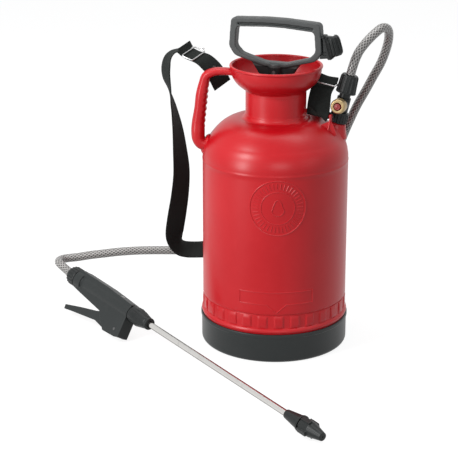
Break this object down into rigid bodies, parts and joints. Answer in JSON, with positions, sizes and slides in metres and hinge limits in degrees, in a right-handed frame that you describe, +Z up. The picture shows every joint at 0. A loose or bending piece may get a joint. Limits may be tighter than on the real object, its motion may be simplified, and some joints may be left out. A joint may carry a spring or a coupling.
{
  "type": "compression sprayer",
  "caption": "Hand-carried pressure sprayer: red tank with funnel, black base cup and hand pump, carry handle, shoulder strap, safety valve, hose, trigger gun and steel lance.",
  "frame": {"origin": "on the floor under the tank's axis", "axes": "+Z up along the tank's axis, -Y to the front with the lance, +X to the outlet and its hose, -X to the carry handle"},
  "size_m": [0.4653, 0.5429, 0.4347],
  "materials": {
    "tank_red": "blow-moulded polyethylene, soft sheen",
    "base_black": "moulded, slightly shiny",
    "handle_grey": "moulded, dull",
    "fitting_black": "moulded, slightly shiny",
    "gun_black": "moulded, slightly shiny",
    "inner_white": "natural plastic",
    "seal_rubber": "dull",
    "rod_steel": "drawn",
    "spring_steel": "drawn",
    "wire_chrome": "bright",
    "lance_chrome": "polished",
    "brass": "turned",
    "pin_red": "moulded",
    "hose_grey": "soft clear PVC over a grey braid",
    "webbing_black": "woven polypropylene"
  },
  "bodies": {
    "sprayer": {"tank_shell": "tank_red", "filling_funnel": "tank_red", "carry_handle": "tank_red", "base_cup": "base_black", "outlet_gasket": "seal_rubber", "outlet_collar_nut": "fitting_black", "outlet_union": "fitting_black", "hose_nut": "fitting_black", "relief_body": "brass", "relief_spring": "spring_steel", "dip_tube": "inner_white", "dip_strainer": "inner_white", "delivery_hose": "hose_grey", "shoulder_strap": "webbing_black", "strap_tail": "webbing_black", "strap_slide_left": "wire_chrome", "strap_slide_right": "wire_chrome", "strap_rivet": "wire_chrome", "gun_hose_nut": "fitting_black", "gun_hose_tail": "inner_white", "gun_strainer": "inner_white", "gun_body": "gun_black", "trigger_pin": "rod_steel", "valve_spring": "spring_steel", "gland_nut": "fitting_black", "lance_seal": "seal_rubber", "lance_tube": "lance_chrome", "nozzle_body": "fitting_black", "nozzle_seal": "seal_rubber"},
    "pump_seal": {"pump_gasket": "seal_rubber"},
    "pump": {"pump_cap": "fitting_black", "pump_cylinder": "inner_white", "rod_guide": "inner_white", "pump_foot": "inner_white"},
    "check_valve": {"check_disc": "seal_rubber"},
    "plunger": {"plunger_rod": "rod_steel", "piston": "inner_white", "piston_cup": "seal_rubber", "pump_handle": "handle_grey", "handle_pin": "rod_steel", "lance_clip": "fitting_black"},
    "relief": {"relief_pin": "pin_red", "relief_seal": "seal_rubber"},
    "lever": {"trigger_lever": "gun_black"},
    "stem": {"valve_stem": "rod_steel", "valve_seal": "seal_rubber"},
    "nozzle": {"nozzle_cap": "fitting_black", "swirl_core": "brass"}
  },
  "joints": [
    {"name": "pump_lift", "type": "slide", "parent": "sprayer", "child": "pump_seal", "axis": [0, 0, 1], "range_m": [0, 0.34]},
    {"name": "pump_turn", "type": "hinge", "parent": "pump_seal", "child": "pump", "pos_m": [0, 0, 0.34], "axis": [0, 0, 1], "range_deg": [0, 120]},
    {"name": "plunger_slide", "type": "slide", "parent": "pump", "child": "plunger", "axis": [0, 0, 1], "range_m": [0, 0.2]},
    {"name": "check_lift", "type": "slide", "parent": "pump", "child": "check_valve", "axis": [0, 0, 1], "range_m": [0, 0.0015]},
    {"name": "relief_pull", "type": "slide", "parent": "sprayer", "child": "relief", "axis": [-0.3005, -0.9511, 0.0721], "range_m": [0, 0.003], "stiffness_N_per_m": 900, "springref_m": -0.003, "deforming": ["relief_spring"]},
    {"name": "trigger", "type": "hinge", "parent": "sprayer", "child": "lever", "pos_m": [-0.20834, -0.02204, 0.01299], "axis": [0.6577, 0.5645, -0.4988], "range_deg": [0, 8], "stiffness_Nm_per_rad": 2, "springref_deg": -5.73},
    {"name": "valve_lift", "type": "slide", "parent": "sprayer", "child": "stem", "axis": [0.4285, 0.2643, 0.864], "range_m": [0, 0.0031], "deforming": ["valve_spring"]},
    {"name": "nozzle_turn", "type": "hinge", "parent": "sprayer", "child": "nozzle", "pos_m": [0.0412, -0.31283, 0.01292], "axis": [0.6196, -0.782, -0.068], "range_deg": [0, 270]}
  ],
  "couplings": [
    {"joint": "valve_lift", "follows": "trigger", "m_per_rad": 0.022}
  ]
}
